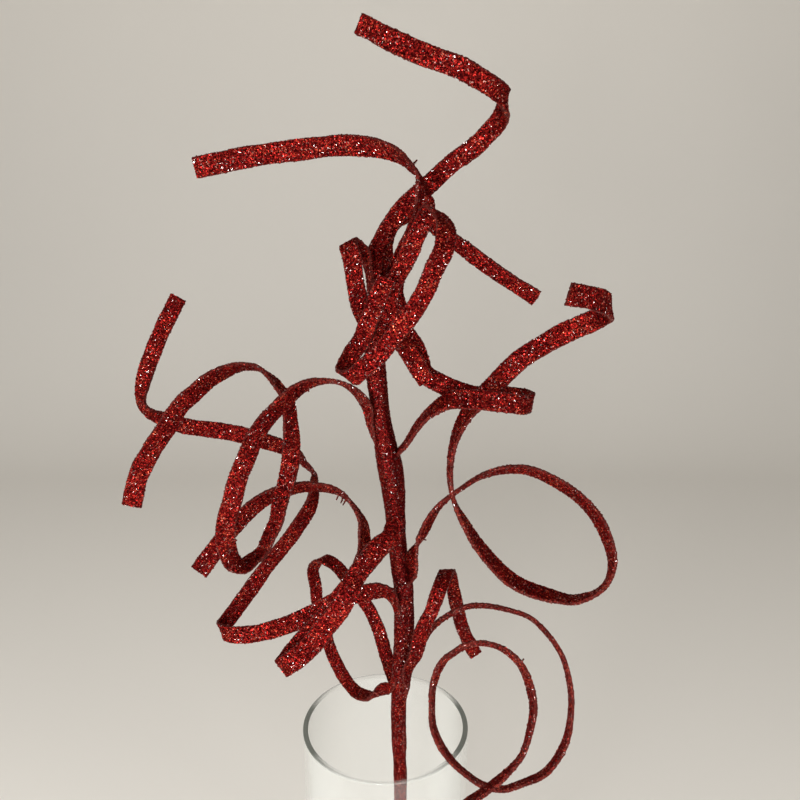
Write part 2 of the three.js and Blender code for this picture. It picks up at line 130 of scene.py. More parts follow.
STRIPS = {
    "curl_top": Strip(width=8, bound=(428, 460), angle=142, route=(
        (-4, -48, 473, 162, 41), (-3, -48, 483, 156, 29), (-2, -49, 491, 148, 18), (3, -50, 500, 147, 13),
        (10, -52, 510, 138, 3), (19, -55, 518, 133, -2), (30, -59, 528, 132, 10), (42, -63, 537, 130, -2),
        (48, -68, 544, 122, -1), (50, -75, 549, 108, 22), (49, -85, 553, 85, 28), (44, -91, 556, 73, 28),
        (33, -93, 562, 66, 20), (17, -88, 568, 66, 7), (-7, -78, 580, 66, 7),
    )),
    "curl_upper_long": Strip(width=8.8, end_width=9.4, widen=45, bound=(358, 386), angle=0, side=-1, route=(
        (12, -57, 403, 22, 85), (18, -64, 415, 31, 84), (23, -69, 422, -38, 84), (31, -73, 428, -85, 46),
        (40, -75, 429, -96, 24), (53, -76, 428, -98, 15), (63, -73, 426, -101, 15),
        (68, -66, 425, -101, 14), (65, -59, 425, -104, 13), (53, -55, 425, -108, 13),
        (43, -54, 425, -114, 15), (35, -53, 427, -122, 16), (28, -52, 430, -131, 13),
        (20, -51, 435, -140, 8), (16, -49, 446, -152, 5), (10, -48, 455, -160, 7), (8, -47, 464, -171, 10),
        (6, -47, 472, 176, 10), (7, -48, 481, 164, 3), (11, -52, 490, 158, -3), (16, -56, 500, 157, 3),
        (19, -63, 509, 157, 25), (18, -67, 516, 147, 53), (17, -66, 523, 130, 69), (13, -60, 528, 110, 66),
        (8, -54, 532, 96, 53), (0, -48, 535, 89, 39), (-8, -43, 536, 89, 23), (-22, -41, 536, 92, 7),
        (-41, -40, 534, 97, 2), (-63, -37, 531, 100, 3), (-85, -32, 527, 100, 2),
    )),
    "coil_front": Strip(width=7.8, bound=(422, 446), angle=292, side=-1, route=(
        (3, -61, 463, 157, 17), (5, -61, 476, 155, -3), (10, -63, 486, 154, -3), (15, -66, 497, 154, -3),
        (19, -71, 506, 152, -3), (22, -77, 510, 150, -4), (26, -85, 507, 152, -4), (27, -91, 503, 155, -5),
        (26, -95, 496, 157, -5), (22, -97, 488, 154, 8), (19, -98, 481, 151, 8), (14, -98, 472, 147, -6),
        (7, -97, 463, 141, -7), (1, -96, 455, 137, -8), (-6, -94, 448, 138, -7), (-11, -90, 443, 143, -6),
        (-15, -83, 443, 145, -5), (-13, -76, 448, 150, -4), (-8, -73, 455, 152, -3),
        (-5, -72, 463, 154, -3), (-1, -72, 473, 154, -3), (3, -72, 482, 154, -2),
    )),
    "curl_upper_right": Strip(width=7.5, bound=(426, 458), angle=68, route=(
        (2, -41, 475, 160, 10), (3, -39, 484, 140, 42), (3, -39, 495, 131, 42), (6, -38, 502, 117, 28),
        (13, -37, 506, 98, 38), (22, -37, 503, 76, 22), (29, -38, 498, 64, 17), (54, -41, 480, 60, 18),
        (72, -45, 469, 61, 17),
    )),
    "loop_small_left": Strip(width=8, bound=(430, 444), angle=215, route=(
        (-6, -60, 459, 27, 34), (-7, -63, 463, 14, 0), (-9, -66, 470, 11, -5), (-11, -68, 484, 12, -5),
        (-12, -70, 492, 18, -5), (-13, -67, 496, 32, -6), (-10, -62, 494, 37, 19), (-7, -58, 490, 37, 61),
        (-5, -56, 482, 43, 74), (-3, -56, 472, 46, 74),
    )),
    "curl_far_left": Strip(width=9, end_width=7.8, bound=(288, 303), angle=225, route=(
        (3, -54, 321, 66, 34), (-2, -56, 324, 93, 6), (-6, -57, 324, 104, -13), (-19, -57, 321, 112, -27),
        (-31, -56, 314, 112, -27), (-44, -57, 307, 110, -28), (-57, -58, 303, 101, -30),
        (-70, -56, 299, 98, -18), (-79, -52, 297, 107, -28), (-84, -46, 296, 114, -25),
        (-81, -40, 299, 121, -9), (-70, -34, 313, 135, 9), (-58, -31, 329, 133, 19),
        (-45, -29, 346, 136, 11), (-37, -28, 360, 119, 37), (-36, -27, 368, 111, 44),
        (-36, -25, 374, 100, 52), (-41, -26, 381, 107, 34), (-46, -29, 388, 102, 28),
        (-62, -33, 396, 99, 3), (-80, -35, 401, 100, -16), (-98, -36, 404, 92, -17),
        (-108, -37, 408, 73, 9), (-115, -38, 412, 44, 50), (-118, -37, 417, 26, 54),
        (-117, -36, 425, -2, 18), (-115, -34, 432, -18, -5), (-110, -32, 444, -27, -10),
        (-104, -31, 456, -27, -10), (-98, -29, 467, -23, -11),
    )),
    "coil_left": Strip(width=8.5, end_width=9, widen=40, bound=(330, 394), angle=184, route=(
        (-5, -52, 408, 20, 68), (-7, -54, 420, 35, 47), (-12, -57, 428, 60, 56), (-18, -58, 432, 90, 84),
        (-26, -58, 433, 87, 67), (-33, -60, 432, 99, 55), (-39, -62, 429, 113, 36),
        (-45, -66, 424, 125, 30), (-51, -70, 418, 127, 34), (-56, -74, 411, 136, 15),
        (-59, -78, 404, 144, 10), (-63, -81, 395, 153, 1), (-66, -83, 384, 157, 8), (-70, -82, 371, 168, 7),
        (-71, -78, 360, 173, 19), (-70, -73, 349, -173, 56), (-66, -67, 344, -131, 79),
        (-63, -61, 344, -21, 62), (-59, -57, 346, -1, 48), (-55, -54, 354, 2, 42), (-52, -52, 360, -5, 40),
        (-50, -50, 369, -13, 25), (-46, -47, 382, -20, 34), (-44, -46, 396, -35, -27),
        (-44, -46, 410, -45, -42), (-45, -47, 421, -52, -47), (-49, -48, 428, -47, -41),
        (-53, -49, 433, -48, -53), (-58, -50, 437, -100, -68), (-66, -52, 438, -100, -58),
        (-73, -54, 436, -85, -39), (-79, -56, 433, -71, -28), (-85, -59, 428, -61, -26),
        (-92, -61, 422, -56, -25), (-98, -64, 413, -50, -25), (-105, -67, 403, -40, -17),
        (-111, -70, 392, -33, -5), (-115, -72, 377, -30, -5),
    )),
    "curl_right_loop": Strip(width=9, bound=(290, 318), angle=338, side=-1, route=(
        (15, -53, 333, 0, 55), (15, -54, 342, -10, 42), (19, -52, 351, 135, 38), (27, -50, 366, 108, 58),
        (38, -50, 376, 119, 70), (51, -50, 384, 108, 56), (67, -51, 387, 107, 45), (82, -52, 382, 102, 39),
        (99, -54, 370, 93, 39), (109, -56, 355, 81, 40), (113, -58, 339, 84, 52), (109, -60, 328, 94, 61),
        (96, -61, 322, 79, 82), (82, -62, 325, -87, 71), (66, -63, 332, -110, 64), (51, -64, 347, -130, 61),
        (40, -65, 364, -150, 75), (34, -65, 377, 89, 72), (32, -65, 391, 78, 71), (34, -64, 407, 44, 72),
        (40, -64, 420, -19, 62), (50, -64, 431, -46, 15), (62, -64, 444, -51, 27), (78, -69, 456, -54, 29),
        (90, -77, 464, -54, 16), (94, -87, 470, -70, 14), (92, -97, 474, -88, 10), (85, -105, 478, -105, 5),
        (73, -110, 481, -110, 4),
    )),
    "curl_low_left": Strip(width=8, end_width=9.2, bound=(378, 360), angle=110, route=(
        (2, -41, 343, 161, 1), (-2, -40, 338, 138, -18), (-7, -37, 330, 138, -19), (-11, -34, 324, 143, -5),
        (-12, -32, 326, 147, 19), (-10, -31, 333, 146, 34), (-10, -30, 341, 145, 40),
        (-11, -31, 350, 113, 57), (-16, -33, 361, 106, 55), (-23, -36, 369, 98, 49),
        (-34, -39, 373, 94, 46), (-44, -41, 373, 96, 36), (-57, -43, 369, 108, 27),
        (-68, -45, 361, 126, 20), (-76, -49, 353, 137, 6), (-83, -54, 345, 144, -5),
        (-90, -59, 336, 147, -3),
    )),
    "fold_front": Strip(width=9.6, widen=18, bound=(396, 374), angle=266, side=-1, route=(
        (5, -61, 357, 140, -4), (-2, -67, 353, 133, -3), (-8, -72, 347, 137, -4), (-19, -77, 332, 142, -16),
        (-27, -79, 322, 142, -17), (-36, -80, 312, 141, -17), (-44, -80, 302, 138, -19),
        (-47, -85, 300, 128, -24), (-42, -91, 307, 133, -21), (-32, -93, 317, 142, -17),
        (-25, -93, 327, 142, -17), (-17, -91, 337, 142, -17), (-13, -88, 344, 142, -17),
    )),
    "loop_low_back": Strip(width=7, widen=15, bound=(283, 269), angle=205, route=(
        (0, -41, 256, 23, 33), (-7, -31, 244, 35, -1), (-16, -20, 239, 32, 28), (-24, -10, 242, 16, -15),
        (-31, -4, 253, 16, -16), (-35, 0, 265, 16, -16), (-39, 3, 279, 17, -16), (-40, 3, 292, 17, -16),
        (-41, 0, 306, 23, -3), (-36, -5, 315, 29, 7), (-32, -10, 317, 25, -9), (-27, -14, 316, 22, -16),
        (-21, -18, 311, 23, -15), (-9, -22, 295, 23, -15), (-3, -27, 284, 26, -8), (1, -31, 272, 18, -13),
        (3, -31, 263, 14, -11), (6, -31, 254, 12, -9),
    )),
    "curl_low_right": Strip(width=7.5, bound=(218, 252), angle=345, side=-1, route=(
        (13, -50, 274, 148, 46), (17, -52, 285, 138, 14), (20, -53, 299, 150, 1), (25, -52, 311, 161, -13),
        (29, -48, 321, 165, -11), (33, -38, 325, -178, -3), (36, -28, 315, -165, 4),
        (40, -22, 295, -169, 20), (45, -18, 276, -167, 21), (52, -15, 260, -167, 21),
    )),
    "coil_low_right": Strip(width=8, widen=40, bound=(218, 248), angle=75, route=(
        (14, -38, 271, 153, 17), (20, -38, 283, 116, 43), (27, -36, 292, 110, 50), (36, -36, 299, 103, 49),
        (45, -37, 304, 100, 49), (54, -38, 305, 99, 49), (65, -40, 304, 100, 53), (76, -42, 301, 100, 53),
        (85, -43, 293, 99, 53), (94, -45, 280, 98, 52), (99, -47, 263, 91, 52), (100, -49, 247, 92, 53),
        (97, -52, 229, 72, 57), (87, -54, 213, 74, 64), (75, -56, 208, 90, 69), (65, -58, 206, 104, 61),
        (54, -60, 210, 112, 61), (42, -62, 221, 103, 61), (32, -64, 235, 124, 63), (26, -66, 251, 116, 52),
        (25, -68, 267, 103, 52), (26, -70, 282, 113, 47), (30, -73, 295, 109, 46), (35, -76, 302, 101, 50),
        (41, -79, 308, 99, 45), (49, -82, 311, 99, 53), (57, -85, 310, 94, 47), (65, -88, 304, 87, 46),
        (69, -91, 296, 75, 47), (71, -95, 285, 78, 52), (69, -99, 275, 78, 55), (65, -103, 265, 96, 52),
        (57, -107, 258, 81, 68), (48, -111, 253, 80, 68), (38, -116, 250, 78, 59), (27, -120, 244, 70, 56),
    )),
    "curl_short_knot": Strip(width=8, widen=14, bound=(468, 461), angle=350, side=-1, route=(
        (9, -57, 451, -160, 27), (14, -59, 444, -150, 6), (21, -60, 433, -142, 8),
    )),
}

# Frayed bits: the row of the strip's route that each grows from, and how far off its tip is.
FRAYS = {
    "curl_upper_long": ((23.9, 2.6, 0, 2.6),),
    "coil_left": ((5, 0, 0, -3.6), (13.7, 5.2, 0, 0), (16, 0, 0, -4.4)),
    "curl_low_left": ((8.9, -1.4, 0, -4), (8.6, -1.6, 0, -4), (8.4, -2, 0, -3.8)),
    "curl_right_loop": ((2, 2.8, 0, -1.2),),
    "coil_low_right": ((27, 1.6, 0, 2.8),),
}
FRAY_SIDES = 7
FRAY_ROWS = 9
FRAY_TAPER = 0.45
FRAY_WANDER = 0.08
FRAY_ROUGH = 0.07
FRAY_POINT = 0.2


# ---------------- lines and sections


def unit(vectors):
    """Vectors of length one: each row divided by its own length."""
    return vectors / np.linalg.norm(vectors, axis=-1, keepdims=True)


def blend_by(start, end, share):
    """A straight blend: the start, plus the share of the way to the end."""
    return start + (end - start) * share


def eased(share):
    """Three times the share squared less twice its cube, between 0 and 1: flat at both ends."""
    share = np.clip(share, 0, 1)
    return share * share * (3 - 2 * share)


def squared(vectors, along):
    """Vectors of length one at right angles to a line: each less its part along the line."""
    return unit(vectors - along * np.sum(vectors * along, axis=1, keepdims=True))


def looked_up(at, places, values):
    """Each column of the values read off at some places, straight between the known ones."""
    return np.stack([np.interp(at, places, column) for column in values.T], axis=1)


def smooth_line(knots, at):
    """Points and directions on a smooth line through the knots.

    A place is counted in knots from the first. Each stretch is a cubic between two knots.
    Its slope at a knot comes from the two neighbours, each weighed by the square root of its
    distance, and the line runs straight on before the first knot and after the last.
    """
    before = 2 * knots[0] - knots[1]
    after = 2 * knots[-1] - knots[-2]
    every = np.vstack([before, knots, after])
    stretch = np.clip(at.astype(int), 0, len(knots) - 2)
    s = (at - stretch)[:, None]
    a, b, c, d = (every[stretch + i] for i in range(4))
    ab, bc, cd = (np.sqrt(np.linalg.norm(q - p, axis=1))[:, None]
                  for p, q in ((a, b), (b, c), (c, d)))
    slope_b = ((b - a) / ab - (c - a) / (ab + bc) + (c - b) / bc) * bc
    slope_c = ((c - b) / bc - (d - b) / (bc + cd) + (d - c) / cd) * bc
    square = 3 * (c - b) - 2 * slope_b - slope_c
    cube = 2 * (b - c) + slope_b + slope_c
    points = b + slope_b * s + square * s ** 2 + cube * s ** 3
    return points, unit(slope_b + 2 * square * s + 3 * cube * s ** 2)


def even_places(knots, step):
    """Places on the line through the knots that are the same length apart, and that length.

    The line is cut into short chords, their lengths are added up, and equal shares of the
    sum are looked up among them.
    """
    fine = np.linspace(0, len(knots) - 1, CHORDS_PER_KNOT * len(knots))
    points, _ = smooth_line(knots, fine)
    run = np.append(0, np.cumsum(np.linalg.norm(np.diff(points, axis=0), axis=1)))
    count = max(2, round(run[-1] / step))
    return np.interp(np.linspace(0, run[-1], count + 1), run, fine), run[-1]


def stem_at(heights, knots=np.array(STEM_ROUTE, float)):
    """The stem's middle and direction at some heights; its last direction runs on above it."""
    places, _ = even_places(knots, STEM_STEP)
    points, along = smooth_line(knots, places)
    points = np.vstack([points, points[-1] + along[-1] * RUN_ON])
    along = np.vstack([along, along[-1]])
    known = points[:, 2]
    return looked_up(heights, known, points), unit(looked_up(heights, known, along))


def bound_places(strip, stem_radius, thickness):
    """The four knots that hold a strip to the stem, and the way its width lies there.

    From the stem's middle, each goes out at right angles to the stem by the stem's radius
    and half the strip's thickness, less how deep it is pressed in, and the last also by its
    lift. The width lies along the stem's direction crossed with the way out.
    """
    start, end = strip.bound
    rise = math.copysign(LIFT_RISE, end - start)
    heights = np.array([start, (start + end) / 2, end, end + rise], float)
    middles, along = stem_at(heights)
    a = math.radians(strip.angle)
    out = squared(np.tile([math.cos(a), math.sin(a), 0.0], (4, 1)), along)
    reach = stem_radius + thickness / 2 - BOUND_SUNK + np.array([0, 0, 0, LIFT])
    return middles + out * reach[:, None], np.cross(along, out) * strip.side


def routed_places(strip):
    """The knots of a strip's own route, and the way its width lies there from the two angles."""
    x, y, z, turn, tip = np.array(strip.route, float).T
    turn, tip = np.radians(turn), np.radians(tip)
    across = [np.cos(tip) * np.cos(turn), -np.sin(tip), np.cos(tip) * np.sin(turn)]
    return np.stack([x, y, z], axis=1), np.stack(across, axis=1)


def strip_sections(strip, stem_radius, thickness, step):
    """Sections along a strip: middle, width direction, face direction, width, line's direction.

    The width direction goes straight from knot to knot, is evened four times with its
    neighbours at every fourth millimetre, and is squared to the line. The face direction
    is the line's direction crossed with it. The width grows from the bound width to the
    strip's own over a short run.
    """
    held, held_across = bound_places(strip, stem_radius, thickness)
    free, free_across = routed_places(strip)
    knots = np.vstack([held, free])
    knot_across = np.vstack([held_across, free_across])
    coarse, length = even_places(knots, SECTION_STEP)
    across = looked_up(coarse, np.arange(len(knots)), knot_across)
    for _ in range(4):
        across[1:-1] = (across[:-2] + 2 * across[1:-1] + across[2:]) / 4
    places, _ = even_places(knots, step)
    run = np.linspace(0, length, len(places))
    middle, along = smooth_line(knots, places)
    wide = squared(looked_up(run, np.linspace(0, length, len(coarse)), across), along)
    bound = abs(strip.bound[1] - strip.bound[0]) + LIFT_RISE
    full = blend_by(strip.width, strip.end_width or strip.width, run / length)
    width = blend_by(BOUND_WIDTH, full, eased((run - bound) / (strip.widen * WIDEN_SHARE)))
    return middle, wide, np.cross(along, wide), width, along


# ---------------- meshes


def drifting(rng, count, reach):
    """A slow random drift of about one: random numbers averaged with a bell over their reach."""
    bell = np.exp(-0.5 * (np.arange(-3 * reach, 3 * reach + 1) / reach) ** 2)
    raw = rng.normal(size=count + 6 * reach)
    return np.convolve(raw, bell / np.sqrt(np.sum(bell ** 2)), mode="valid")[:count]


def ring_sides(rows, around):
    """Faces between rings in rows that turn anticlockwise on their way up."""
    ring = np.arange(around)
    start = np.arange(rows - 1)[:, None] * around
    here, after = start + ring, start + np.roll(ring, -1)
    return np.stack([here, after, after + around, here + around], axis=-1).reshape(-1, 4)


def ring_and_caps(rows, wide, thin):
    """Faces of a bar whose sections are rings of wide by thin cells, with both ends closed by
    a grid of the same cells. The caps' inner vertices follow the rings in order."""
    around = 2 * (wide + thin)
    ring = np.arange(around)
    cap = np.full((wide + 1, thin + 1), -1)
    cap[:-1, 0] = ring[:wide]
    cap[-1, :-1] = ring[wide:wide + thin]
    cap[:0:-1, -1] = ring[wide + thin:-thin]
    cap[0, :0:-1] = ring[-thin:]
    inner = np.arange((wide - 1) * (thin - 1)).reshape(wide - 1, thin - 1)
    faces = [ring_sides(rows, around)]
    for end in range(2):
        grid = cap + (rows - 1) * around * end
        grid[1:-1, 1:-1] = inner + rows * around + inner.size * end
        quads = [grid[:-1, :-1], grid[:-1, 1:], grid[1:, 1:], grid[1:, :-1]]
        if end:
            quads.reverse()
        faces.append(np.stack(quads, axis=-1).reshape(-1, 4))
    return np.vstack(faces)


def outline_cells(wide, thin):
    """The ring's places on a square from -1 to 1, in order round it, then the inside of a cap."""
    w, t = np.linspace(-1, 1, wide + 1), np.linspace(-1, 1, thin + 1)
    x = np.concatenate([w[:-1], np.ones(thin), w[:0:-1], -np.ones(thin)])
    y = np.concatenate([-np.ones(wide), t[:-1], np.ones(wide), t[:0:-1]])
    inside = np.stack(np.meshgrid(w[1:-1], t[1:-1], indexing="ij"), axis=-1).reshape(-1, 2)
    return x, y, inside


def rounded(x, y, half_wide, half_thin, corner):
    """Points of a rectangle with round corners, and the way out at each.

    A point on the rectangle is measured from the nearest point of a smaller one, set in by
    the corner's radius, and put at that radius from it.
    """
    px, py = x * half_wide, y * half_thin
    inner_x = np.clip(px, corner - half_wide, half_wide - corner)
    inner_y = np.clip(py, corner - half_thin, half_thin - corner)
    dx, dy = px - inner_x, py - inner_y
    size = np.maximum(np.hypot(dx, dy), 1e-9)
    dx, dy = dx / size, dy / size
    return inner_x + dx * corner, inner_y + dy * corner, dx, dy


def strip_surface(strip, sizes, rng):
    """A bar of rounded rectangles carried along the strip's line, its ends closed flat.

    Every vertex is moved out or in and sideways by a small random amount, and a few stand
    out further as single grains. The two long edges drift in and out on their own. The
    third value is 1 along the thin edges and 0 on the two faces.
    """
    step = sizes.cell
    middle, wide, face, width, along = strip_sections(
        strip, sizes.stem_radius, sizes.thickness, step)
    cells = (max(4, round(max(strip.width, strip.end_width) / step)),
             max(3, round(sizes.thickness / step)))
    x, y, inside = outline_cells(*cells)
    rows, around = len(middle), len(x)
    left, right, warp = (
        drifting(rng, rows, max(2, round(reach / step))) * sizes.edge_drift
        for reach in (EDGE_REACH, EDGE_REACH, WARP_REACH))
    half = width / 2 + 0.5 * (left + right)
    shift = 0.5 * (right - left)
    corner = min(sizes.corner, sizes.thickness / 2 - 0.05)
    px, py, dx, dy = rounded(
        x[None, :], y[None, :], half[:, None], np.full((rows, 1), sizes.thickness / 2), corner)
    lumps = rng.normal(size=(rows, around)) * sizes.lumps
    grains = (rng.random((rows, around)) < sizes.grain_share) * sizes.grain
    out = lumps + grains
    side_a, side_b = rng.normal(size=(2, rows, around)) * sizes.lumps
    px = px + dx * out + shift[:, None] - dy * side_a
    py = py + dy * out + warp[:, None] * WARP_SHARE + dx * side_a
    points = (middle[:, None] + wide[:, None] * px[..., None] + face[:, None] * py[..., None]
              + along[:, None] * side_b[..., None])
    points = points.reshape(-1, 3)
    edge = np.broadcast_to(np.abs(dx), (rows, around)).reshape(-1)
    for end in (0, -1):
        ix = inside[:, 0] * (half[end] - CAP_INSET)
        iy = inside[:, 1] * (sizes.thickness / 2 - CAP_INSET)
        rough = rng.normal(size=len(ix)) * sizes.lumps * 2
        cap = (middle[end] + wide[end] * (ix + shift[end])[:, None] + face[end] * iy[:, None]
               + along[end] * rough[:, None])
        points = np.vstack([points, cap])
    edge = np.concatenate([edge, np.ones(2 * len(inside))])
    return points, ring_and_caps(rows, *cells), edge


def wrapping(heights, turn, sizes):
    """How far the wrapping stands out from the stem at each height and turn.

    It starts with a thin layer all round from the lowest bound strip up. Over each bound
    strip it rises by a set amount, times how much of the strip is covered at that height,
    times e to the power of less the fourth power of the turn away from the strip, and so it
    does over a ridge of its own. The layer and the rises join as the cube root of the sum of
    their cubes. Both are thinner at the lowest strip and come to their full size over the
    first stretch, and at a few heights the wrapping swells all round like a bell.
    """
    lowest = min(min(strip.bound) for strip in STRIPS.values())
    layer = eased((heights - lowest) / WRAP_START + 1)[:, None] * sizes.wrap_layer
    total = np.repeat(layer ** 3, len(turn), axis=1)
    ridges = [(s.angle, *s.bound, sizes.wrap_rise) for s in STRIPS.values()]
    for angle, start, end, most in [*ridges, *WRAP_RIDGES]:
        run = (heights - start) * math.copysign(1, end - start)
        covered = eased(run / WRAP_START + 1)
        covered *= eased((abs(end - start) + WRAP_END - run) / WRAP_END)
        off = (turn - math.radians(angle) + math.pi) % (2 * math.pi) - math.pi
        rise = most * np.exp(-(off / sizes.wrap_spread) ** 4)
        total += (covered[:, None] * rise) ** 3
    grown = blend_by(WRAP_LEAST, 1, eased((heights - lowest) / WRAP_GROWS))
    swells = sum(rise * np.exp(-((heights - at) / reach) ** 2) for at, reach, rise in WRAP_SWELLS)
    return np.cbrt(total) * grown[:, None] + swells[:, None]


def stem_surface(sizes, rng):
    """A wrapped bar carried up the stem's line and closed by a dome over its tip.

    The reach is the stem's radius plus the wrapping, and the dome's rings shrink by the
    cosine of an angle as they rise by its sine. Small random moves make the grains, and the
    wrapping swells slowly in and out.
    """
    knots = np.array(STEM_ROUTE, float)
    places, _ = even_places(knots, sizes.cell)
    middle, along = smooth_line(knots, places)
    dome = np.radians(np.linspace(5, 80, DOME_RINGS))[:, None]
    middle = np.vstack([middle, middle[-1] + along[-1] * DOME_RISE * np.sin(dome)])
    along = np.vstack([along, np.repeat(along[-1:], len(dome), axis=0)])
    shrink = np.concatenate([np.ones(len(places)), np.cos(dome[:, 0])])[:, None]
    rows = len(middle)
    around = 4 * round(math.pi * (sizes.stem_radius + sizes.wrap_rise) / 2 / sizes.cell)
    swell = drifting(rng, rows, round(SWELL_REACH / sizes.cell)) * SWELL
    turn = np.arange(around) * 2 * math.pi / around
    reach = sizes.stem_radius + wrapping(middle[:, 2], turn, sizes) + swell[:, None]
    reach = reach * shrink + rng.normal(size=(rows, around)) * sizes.lumps * 0.8
    slip = rng.normal(size=(rows, around)) * sizes.lumps
    points = tube_points(middle, along, reach, slip)
    points[0] -= along[0] * np.sum((points[0] - middle[0]) * along[0], axis=1)[:, None]
    points[0, :, 2] = np.maximum(points[0, :, 2], FOOT_LOWEST)
    foot = middle[0] - along[0] * 0.05
    tip = middle[len(places) - 1] + along[-1] * DOME_RISE
    points = np.vstack([points.reshape(-1, 3), foot, tip])
    return points, closed_tube(rows, around), np.zeros(len(points))


def tube_points(middle, along, reach, slip):
    """Rings round a line: each point is the middle plus the reach times the cosine and sine
    of its turn, along two directions at right angles to the line, plus its slip along it."""
    right = unit(np.cross([0.0, 1.0, 0.0], along))
    back = np.cross(along, right)
    turn = np.arange(reach.shape[1]) * 2 * math.pi / reach.shape[1]
    return (middle[:, None]
            + right[:, None] * (reach * np.cos(turn))[..., None]
            + back[:, None] * (reach * np.sin(turn))[..., None]
            + along[:, None] * slip[..., None])


def closed_tube(rows, around):
    """Faces of rings in rows, closed at both ends by fans to the two points that follow them."""
    ring = np.arange(around)
    last = (rows - 1) * around + ring
    low, high = rows * around, rows * around + 1
    caps = np.vstack([
        np.stack([np.full(around, low), np.roll(ring, -1), ring], axis=-1),
        np.stack([np.full(around, high), last, np.roll(last, -1)], axis=-1),
    ])
    return ring_sides(rows, around).tolist() + caps.tolist()


def fray_surface(root, offset, sizes, rng):
    """A frayed bit: a thin stub from inside the strip to its tip, its reach falling evenly and
    its middle wandering a little to the sides."""
    share = np.linspace(0, 1, FRAY_ROWS)
    middle = root + share[:, None] * offset
    middle[:, :2] += rng.normal(size=(FRAY_ROWS, 2)) * FRAY_WANDER
    along = np.tile(unit(offset), (FRAY_ROWS, 1))
    reach = sizes.fray * (1 - FRAY_TAPER * share[:, None]) * np.ones(FRAY_SIDES)
    reach = reach + rng.normal(size=reach.shape) * FRAY_ROUGH
    points = tube_points(middle, along, reach, np.zeros(reach.shape))
    return np.vstack([points.reshape(-1, 3), middle[0], middle[-1] + along[-1] * FRAY_POINT])


def add_frays(name, strip, sizes, rng, points, faces, edge):
    """A strip's surface with its frayed bits beside it, each a closed shell of its own."""
    held, _ = bound_places(strip, sizes.stem_radius, sizes.thickness)
    knots = np.vstack([held, routed_places(strip)[0]])
    faces = faces.tolist()
    for row, *offset in FRAYS.get(name, ()):
        root, _ = smooth_line(knots, np.array([len(held) + row]))
        bit = fray_surface(root[0], np.array(offset, float), sizes, rng)
        faces += [[corner + len(points) for corner in face]
                  for face in closed_tube(FRAY_ROWS, FRAY_SIDES)]
        points = np.vstack([points, bit])
        edge = np.append(edge, np.ones(len(bit)))
    return points, faces, edge


def arc(middle_x, middle_z, radius, start, end, count):
    """Points on an arc: its middle plus the radius times the cosine and sine of each angle."""
    turn = np.radians(np.linspace(start, end, count))
    return np.stack([middle_x + radius * np.cos(turn), middle_z + radius * np.sin(turn)], axis=1)


def vase_surface(sizes, segments=144):
    """The vase's outline turned about its axis: from the middle of the foot out round its
    corner, up the wall, over the flat rim, down inside and in along the floor."""
    inner = sizes.radius - sizes.wall
    foot, rim = sizes.foot_round, sizes.rim_round
    walls = np.linspace(0.02, 0.98, 9)[:, None]
    low, high = np.array([sizes.radius, foot]), np.array([sizes.radius, sizes.height - rim])
    high_in = np.array([inner, sizes.height - rim])
    low_in = np.array([inner, sizes.floor + foot])
    outline = np.vstack([
        [[0.15 * sizes.radius, 0], [0.6 * sizes.radius, 0], [sizes.radius - foot - 0.6, 0]],
        arc(sizes.radius - foot, foot, foot, -90, 0, 9),
        low + (high - low) * walls,
        arc(sizes.radius - rim, sizes.height - rim, rim, 0, 90, 6),
        arc(inner + rim, sizes.height - rim, rim, 90, 180, 6),
        high_in + (low_in - high_in) * walls,
        arc(inner - foot, sizes.floor + foot, foot, 0, -90, 9),
        [[inner - foot - 0.6, sizes.floor], [0.6 * inner, sizes.floor],
         [0.15 * inner, sizes.floor]],
    ])
    turn = np.arange(segments) * 2 * math.pi / segments
    reach, height = outline[:, :1], outline[:, 1:]
    points = np.stack(
        [reach * np.cos(turn), reach * np.sin(turn), np.repeat(height, segments, axis=1)], axis=-1)
    rows = len(outline)
    points = np.vstack([points.reshape(-1, 3), [[0, 0, 0], [0, 0, sizes.floor]]])
    return points, closed_tube(rows, segments)


def make_piece(name, points, faces, material, edge=None, smooth=False):
    """An object at the origin with its place in its mesh, from points in millimetres. The thin
    edges' share, if it has one, is kept on its vertices for the finish to read."""
    mesh = bpy.data.meshes.new(name)
    mesh.from_pydata((points * MM).tolist(), [], faces)
    mesh.update()
    mesh.validate()
    mesh.shade_smooth() if smooth else mesh.shade_flat()
    if edge is not None:
        layer = mesh.attributes.new("thin_edge", "FLOAT", "POINT")
        layer.data.foreach_set("value", edge.astype(np.float32))
    mesh.materials.append(material)
    piece = bpy.data.objects.new(name, mesh)
    bpy.context.scene.collection.objects.link(piece)
    return piece


# ---------------- finishes


def operator(operation, swapped=False):
    """A method that adds a Math node of that operation, its two sides in order or swapped."""

    def operate(self, other):
        first, second = (other, self) if swapped else (self, other)
        return self.finish.node("Math", "Value", {0: first, 1: second}, operation=operation)

    return operate


class Value:
    """One output of a shader node. Arithmetic on values adds Math nodes."""

    def __init__(self, finish, socket):
        self.finish = finish
        self.socket = socket

    def also(self, name):
        """Another output of the same node."""
        return Value(self.finish, self.socket.node.outputs[name])

    __add__ = __radd__ = operator("ADD")
    __mul__ = __rmul__ = operator("MULTIPLY")
    __sub__ = operator("SUBTRACT")
    __rsub__ = operator("SUBTRACT", swapped=True)
    __gt__ = operator("GREATER_THAN")
    __lt__ = operator("LESS_THAN")


